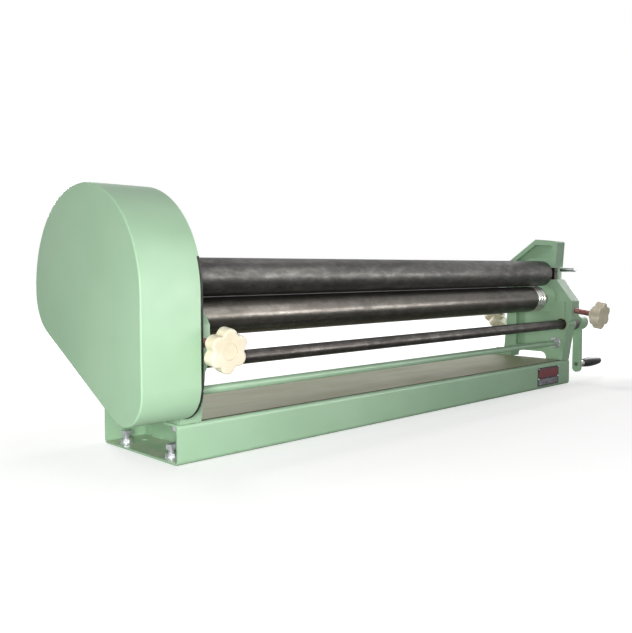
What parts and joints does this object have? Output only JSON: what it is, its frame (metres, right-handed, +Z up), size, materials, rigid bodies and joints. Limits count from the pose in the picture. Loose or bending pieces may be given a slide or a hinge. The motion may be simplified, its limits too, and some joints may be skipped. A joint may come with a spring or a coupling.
{
  "type": "plate rolling machine",
  "caption": "Hand-cranked bench slip roll: long steel rolls between cast side frames on a folded channel base, with a geared drive under a cover, lobed adjusting knobs and a crank.",
  "frame": {"origin": "Middle of the base's underside.", "axes": "X along the rolls towards the crank end, -Y towards the operator at the front, Z up."},
  "size_m": [1.7073, 0.4353, 0.498],
  "materials": {
    "green_paint": "pale green enamel on castings and sheet, semi-gloss",
    "roll_steel": "ground steel with a thin film of oil",
    "sheet_steel": "bare mill-finish sheet",
    "machined_steel": "turned and milled steel",
    "zinc_steel": "bright zinc plated",
    "iron": "machined cast iron, greased",
    "bronze": "plain bearing bronze",
    "cream_plastic": "moulded, glossy",
    "black_plastic": "moulded, satin",
    "bright_chrome": "polished plating"
  },
  "bodies": {
    "machine": {"base_channel": "green_paint", "base_cross_plates": "green_paint", "base_top_plate": "sheet_steel", "level_screws": "zinc_steel", "left_frame": "green_paint", "right_frame": "green_paint", "frame_bolts": "zinc_steel", "tie_rod": "green_paint", "tie_rod_nuts": "zinc_steel", "crank_bush_left": "bronze", "crank_bush_right": "bronze", "top_left_bush": "bronze", "counter_stud": "machined_steel", "counter_spacer": "machined_steel", "counter_nut": "zinc_steel", "gear_cover": "green_paint", "cover_brackets": "green_paint", "cover_screws": "zinc_steel", "latch_pin": "machined_steel"},
    "crank": {"crank_shaft": "machined_steel", "crank_pinion": "iron", "crank_collar": "machined_steel", "crank_arm": "green_paint", "crank_cross_pin": "machined_steel", "grip_spindle": "machined_steel"},
    "grip": {"crank_grip": "black_plastic"},
    "counter": {"drive_gear": "iron", "counter_pinion": "iron", "counter_bush": "bronze"},
    "top_hub": {"top_drive_hub": "machined_steel", "top_roll_gear": "iron"},
    "top_swing": {"top_right_bearing": "iron"},
    "top_roll": {"top_roll": "roll_steel", "top_drive_pin": "machined_steel", "top_roll_washer": "machined_steel"},
    "lower_carriage": {"lower_block_left": "iron", "lower_block_right": "iron", "lower_bushes": "bronze"},
    "lower_roll": {"lower_roll": "roll_steel", "lower_roll_gear": "iron", "lower_gear_screw": "zinc_steel", "lower_roll_collar": "machined_steel"},
    "wedge_left": {"lower_wedge_left": "machined_steel"},
    "wedge_right": {"lower_wedge_right": "machined_steel"},
    "front_screw_left": {"front_screw_left": "machined_steel", "front_knob_left": "cream_plastic"},
    "front_screw_right": {"front_screw_right": "machined_steel", "front_knob_right": "cream_plastic"},
    "rear_carriage": {"rear_block_left": "iron", "rear_block_right": "iron", "rear_bushes": "bronze"},
    "rear_roll": {"rear_roll": "roll_steel", "rear_roll_collars": "machined_steel"},
    "rear_screw_left": {"rear_screw_left": "machined_steel", "rear_knob_left": "cream_plastic"},
    "rear_screw_right": {"rear_screw_right": "machined_steel", "rear_knob_right": "cream_plastic"},
    "latch": {"latch_cam": "green_paint", "latch_handle": "bright_chrome"}
  },
  "joints": [
    {"name": "wedge_left_slide", "type": "slide", "parent": "machine", "child": "wedge_left", "axis": [0, -0.9903, -0.1392], "range_m": [0, 0.02156]},
    {"name": "wedge_right_slide", "type": "slide", "parent": "machine", "child": "wedge_right", "axis": [0, -0.9903, -0.1392], "range_m": [0, 0.02156]},
    {"name": "front_screw_left_turn", "type": "hinge", "parent": "wedge_left", "child": "front_screw_left", "pos_m": [-0.6725, -0.16, 0.223], "axis": [0, -0.9903, -0.1392], "range_deg": [0, 1939.5]},
    {"name": "front_screw_right_turn", "type": "hinge", "parent": "wedge_right", "child": "front_screw_right", "pos_m": [0.6725, -0.16, 0.223], "axis": [0, -0.9903, -0.1392], "range_deg": [0, 1939.5]},
    {"name": "lower_lift", "type": "slide", "parent": "machine", "child": "lower_carriage", "axis": [0, 0, 1], "range_m": [-0.003, 0]},
    {"name": "lower_roll_spin", "type": "hinge", "parent": "lower_carriage", "child": "lower_roll", "pos_m": [0, -0.065, 0.2575], "axis": [1, 0, 0], "continuous": true},
    {"name": "top_roll_swing", "type": "hinge", "parent": "machine", "child": "top_swing", "pos_m": [-0.66, -0.065, 0.3325], "axis": [0, 0, -1], "range_deg": [0, 8]},
    {"name": "top_roll_spin", "type": "hinge", "parent": "top_swing", "child": "top_roll", "pos_m": [0, -0.065, 0.3325], "axis": [1, 0, 0], "continuous": true},
    {"name": "top_hub_spin", "type": "hinge", "parent": "machine", "child": "top_hub", "pos_m": [0, -0.065, 0.3325], "axis": [1, 0, 0], "continuous": true},
    {"name": "counter_spin", "type": "hinge", "parent": "machine", "child": "counter", "pos_m": [0, -0.01102, 0.30562], "axis": [1, 0, 0], "continuous": true},
    {"name": "crank_spin", "type": "hinge", "parent": "machine", "child": "crank", "pos_m": [0, -0.128, 0.18255], "axis": [1, 0, 0], "continuous": true},
    {"name": "grip_spin", "type": "hinge", "parent": "crank", "child": "grip", "pos_m": [0, -0.128, 0.05455], "axis": [1, 0, 0], "continuous": true},
    {"name": "rear_slide", "type": "slide", "parent": "machine", "child": "rear_carriage", "axis": [0, -0.7071, 0.7071], "range_m": [0, 0.026]},
    {"name": "rear_roll_spin", "type": "hinge", "parent": "rear_carriage", "child": "rear_roll", "pos_m": [0, 0.045, 0.255], "axis": [1, 0, 0], "continuous": true},
    {"name": "rear_screw_left_turn", "type": "hinge", "parent": "rear_carriage", "child": "rear_screw_left", "pos_m": [-0.6725, 0.045, 0.255], "axis": [0, -0.7071, 0.7071], "range_deg": [0, 2339]},
    {"name": "rear_screw_right_turn", "type": "hinge", "parent": "rear_carriage", "child": "rear_screw_right", "pos_m": [0.6725, 0.045, 0.255], "axis": [0, -0.7071, 0.7071], "range_deg": [0, 2339]},
    {"name": "latch_turn", "type": "hinge", "parent": "machine", "child": "latch", "pos_m": [0.6845, -0.095, 0.3325], "axis": [0, 0, 1], "range_deg": [0, 110]}
  ],
  "couplings": [
    {"joint": "wedge_left_slide", "follows": "lower_lift", "ratio": -7.1853},
    {"joint": "wedge_right_slide", "follows": "lower_lift", "ratio": -7.1853},
    {"joint": "front_screw_left_turn", "follows": "lower_lift", "rad_per_m": -11287},
    {"joint": "front_screw_right_turn", "follows": "lower_lift", "rad_per_m": -11287},
    {"joint": "rear_screw_left_turn", "follows": "rear_slide", "rad_per_m": 1570.8},
    {"joint": "rear_screw_right_turn", "follows": "rear_slide", "rad_per_m": 1570.8},
    {"joint": "top_roll_spin", "follows": "lower_roll_spin", "ratio": -1},
    {"joint": "top_hub_spin", "follows": "lower_roll_spin", "ratio": -1},
    {"joint": "counter_spin", "follows": "lower_roll_spin", "ratio": 1.6667},
    {"joint": "crank_spin", "follows": "lower_roll_spin", "ratio": -5.3086}
  ]
}
